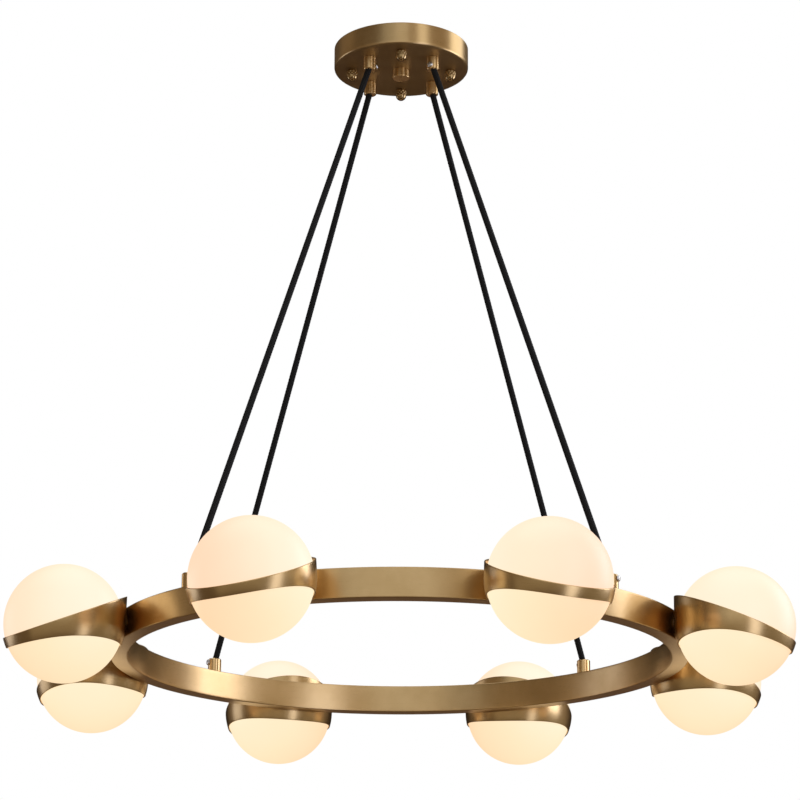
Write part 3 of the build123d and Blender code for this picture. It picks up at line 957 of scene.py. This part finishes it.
floor_z = -4.6
floor_reach = 60.0
floor_paleness = 0.68
floor_roughness = 0.9
cloth_z = -2.65
cloth_reach = 9.0
room_radius = 8.0
room_split_z = 2.0
room_top_z = 12.0
near_radius = 3.5
near_split_z = -1.45
near_top_z = -0.75
front_radius = 3.9
front_split_z = 1.3
front_top_z = 3.0
corner_radius = 1.7
corner_low_z = -2.0
corner_split_z = 0.2
corner_top_z = 1.6
right_radius = 1.25
right_low_z = -0.72
right_split_z = 0.1
right_top_z = 0.9
left_radius = 1.6
left_levels = (-1.0, -0.2)
shade_tone = (1.0, 0.77, 0.54)
cloth_tone = (1.0, 0.68, 0.48)
fill_tone = (1.0, 0.86, 0.66)
softbox_tone = (1.0, 1.03, 1.22)
white_tone = (1.0, 1.0, 1.0)
floor_tone = (0.82, 0.82, 0.81)
key_tone = (0.9, 1.0, 1.2)
ambient_tone = (1.0, 0.985, 0.96)
ambient_level = 0.40


def stage_piece(name, points):
    """A stage surface over a grid of points, with a material of its own."""
    mesh = bpy.data.meshes.new(name)
    mesh.from_pydata(points.reshape(-1, 3), [], grid_faces(*points.shape[:2]))
    piece = bpy.data.objects.new(name, mesh)
    bpy.context.scene.collection.objects.link(piece)
    finish, tree, shader = new_finish(name)
    mesh.materials.append(finish)
    return piece, tree, shader


def only_reflected(name, points, colour, strength):
    """A glowing stage surface that is seen in reflections and nowhere else."""
    piece, tree, _ = stage_piece(name, points)
    glow = add(tree, "Emission", Color=(*colour, 1.0), Strength=strength)
    join(tree, (glow, "Emission", tree.nodes["Material Output"], "Surface"))
    piece.visible_camera = False
    piece.visible_diffuse = False
    piece.visible_transmission = False
    piece.visible_volume_scatter = False
    piece.visible_shadow = False


def panel(name, angles, radius, heights, strength, colour=white_tone, top_angles=None, rows=9, columns=33):
    """Curved upright panel for reflections; angles in degrees from the camera's side, right positive.

    A panel that leans has other angles at its top edge than at its bottom one.
    """
    share = np.linspace(0, 1, rows)[:, None]
    bottom_turn = np.linspace(*angles, columns)
    top_turn = np.linspace(*(top_angles or angles), columns)
    turn = np.radians(bottom_turn + (top_turn - bottom_turn) * share)
    level = heights[0] + (heights[1] - heights[0]) * share + 0 * turn
    points = np.stack([radius * np.sin(turn), -radius * np.cos(turn), level], axis=2)
    only_reflected(name, points, colour, strength)


def square(reach, level):
    """Four corners of a level square, as a grid."""
    side = np.array([-reach, reach])
    return np.stack(np.broadcast_arrays(side[None, :], side[:, None], np.array([[level]])), axis=2)


def seen_directly(tree):
    """A node that gives 1 where the camera looks, also by gloss or glass, and 0 for light that falls."""
    path = add(tree, "LightPath")
    straight, either = (add(tree, "Math", {"operation": "MAXIMUM"}) for _ in range(2))
    join(
        tree,
        (path, "Is Camera Ray", straight, 0),
        (path, "Is Glossy Ray", straight, 1),
        (straight, "Value", either, 0),
        (path, "Is Transmission Ray", either, 1),
    )
    return either


_, floor_tree, floor_shader = stage_piece("floor", square(floor_reach, floor_z))
floor_shader.inputs["Base Color"].default_value = (*floor_tone, 1.0)
floor_shader.inputs["Roughness"].default_value = floor_roughness
floor_shader.inputs["Emission Color"].default_value = (*white_tone, 1.0)
pale = scaled(floor_tree, floor_paleness)
join(
    floor_tree,
    (seen_directly(floor_tree), "Value", pale, 0),
    (pale, "Value", floor_shader, "Emission Strength"),
)
only_reflected("dark_cloth", square(cloth_reach, cloth_z), cloth_tone, 0.10)

far_levels = (cloth_z, room_split_z)
high_levels = (room_split_z, room_top_z)
panel("far_left", (-125.0, 0.0), room_radius, far_levels, 0.21, shade_tone)
panel("far_right", (0.0, 85.0), room_radius, far_levels, 0.48, fill_tone)
panel("far_right_back", (85.0, 125.0), room_radius, far_levels, 0.24, shade_tone)
panel("far_back_right", (125.0, 140.0), room_radius, far_levels, 0.13, shade_tone)
panel("far_back", (140.0, 220.0), room_radius, far_levels, 0.02, shade_tone)
panel("far_back_left", (220.0, 235.0), room_radius, far_levels, 0.13, shade_tone)
panel("high_left", (-90.0, 0.0), room_radius, high_levels, 0.12, shade_tone)
panel("high_left_back", (-128.0, -90.0), room_radius, high_levels, 0.21, shade_tone)
panel("high_right", (0.0, 125.0), room_radius, high_levels, 0.28, shade_tone)
panel("high_back", (125.0, 232.0), room_radius, high_levels, 0.09, shade_tone)

near_levels = (cloth_z, near_top_z)
panel("near_left", (-125.0, -62.0), near_radius, near_levels, 0.135, shade_tone)
panel("near_front", (-62.0, 20.0), near_radius, near_levels, 0.33, fill_tone)
panel("near_right", (20.0, 130.0), near_radius, near_levels, 0.26, fill_tone)
panel("near_back", (130.0, 235.0), near_radius, (cloth_z, near_split_z), 0.15, cloth_tone)
panel("near_back_top", (130.0, 235.0), near_radius, (near_split_z, near_top_z), 0.09, cloth_tone)

right_levels, right_high_levels = (right_low_z, right_split_z), (right_split_z, right_top_z)
panel("right_softbox", (80.5, 105.0), right_radius, right_levels, 2.8, softbox_tone, (86.0, 121.0))
panel("right_softbox_top", (86.0, 121.0), right_radius, right_high_levels, 1.58, white_tone, (96.0, 136.0))
corner_levels, corner_high_levels = (corner_low_z, corner_split_z), (corner_split_z, corner_top_z)
panel("front_right_softbox", (28.0, 45.0), corner_radius, corner_levels, 1.55, softbox_tone)
panel("front_right_softbox_top", (28.0, 45.0), corner_radius, corner_high_levels, 1.15)
front_levels, front_high_levels = (near_top_z, front_split_z), (front_split_z, front_top_z)
panel("front_fill", (-21.0, 15.0), front_radius, front_levels, 0.72)
panel("front_fill_edge", (-38.0, -21.0), front_radius, front_levels, 0.46)
panel("front_fill_top", (-9.0, 11.0), front_radius, front_high_levels, 0.68)
panel("front_fill_top_edge", (-32.0, -9.0), front_radius, front_high_levels, 0.42)
panel("left_fill", (-121.0, -97.0), left_radius, left_levels, 0.95, softbox_tone)

world = bpy.data.worlds.new("white_studio")
bpy.context.scene.world = world
world.use_nodes = True
sky = world.node_tree
sky.nodes.clear()
backdrop = add(sky, "Background", Color=(*white_tone, 1.0), Strength=1.0)
ambient = add(sky, "Background", Color=(*ambient_tone, 1.0), Strength=ambient_level)
choose = add(sky, "MixShader")
output = add(sky, "OutputWorld")
join(
    sky,
    (seen_directly(sky), "Value", choose, 0),
    (ambient, "Background", choose, 1),
    (backdrop, "Background", choose, 2),
    (choose, "Shader", output, "Surface"),
)


def softbox(name, place, size, power, colour=white_tone):
    """Square area lamp aimed at the ring, left out of reflections."""
    lamp = bpy.data.lights.new(name, "AREA")
    lamp.size = size
    lamp.energy = power
    lamp.color = colour
    holder = bpy.data.objects.new(name, lamp)
    bpy.context.scene.collection.objects.link(holder)
    holder.location = place
    aim = np.array([0.0, 0.0, globe_z]) - np.array(place)
    flat = math.hypot(aim[0], aim[1])
    holder.rotation_euler = (math.atan2(flat, -aim[2]), 0.0, math.atan2(-aim[0], aim[1]))
    holder.visible_camera = False
    holder.visible_glossy = False


softbox("key", place=(3.2, -1.6, 1.2), size=1.8, power=150.0, colour=key_tone)
softbox("fill", place=(-2.6, -2.6, 0.4), size=1.8, power=30.0)
softbox("top", place=(0.0, 0.5, 3.0), size=2.2, power=20.0)


# Camera at the photograph's place, looking up at the ring
camera_place = (-0.0061, -2.9169, -1.2982)
camera_yaw = 0.0020
camera_pitch = 0.2952
camera_roll = 0.0029
focal_pixels = 2818.0
picture_width = 800.0
sensor_width = 36.0

lens = bpy.data.cameras.new("camera")
lens.sensor_width = sensor_width
lens.lens = focal_pixels / picture_width * sensor_width
camera = bpy.data.objects.new("camera", lens)
bpy.context.scene.collection.objects.link(camera)
camera.matrix_world = (
    Matrix.Translation(camera_place)
    @ Matrix.Rotation(-camera_yaw, 4, "Z")
    @ Matrix.Rotation(math.pi / 2 + camera_pitch, 4, "X")
    @ Matrix.Rotation(camera_roll, 4, "Z")
)
bpy.context.scene.camera = camera
bpy.context.scene.view_settings.view_transform = "Standard"
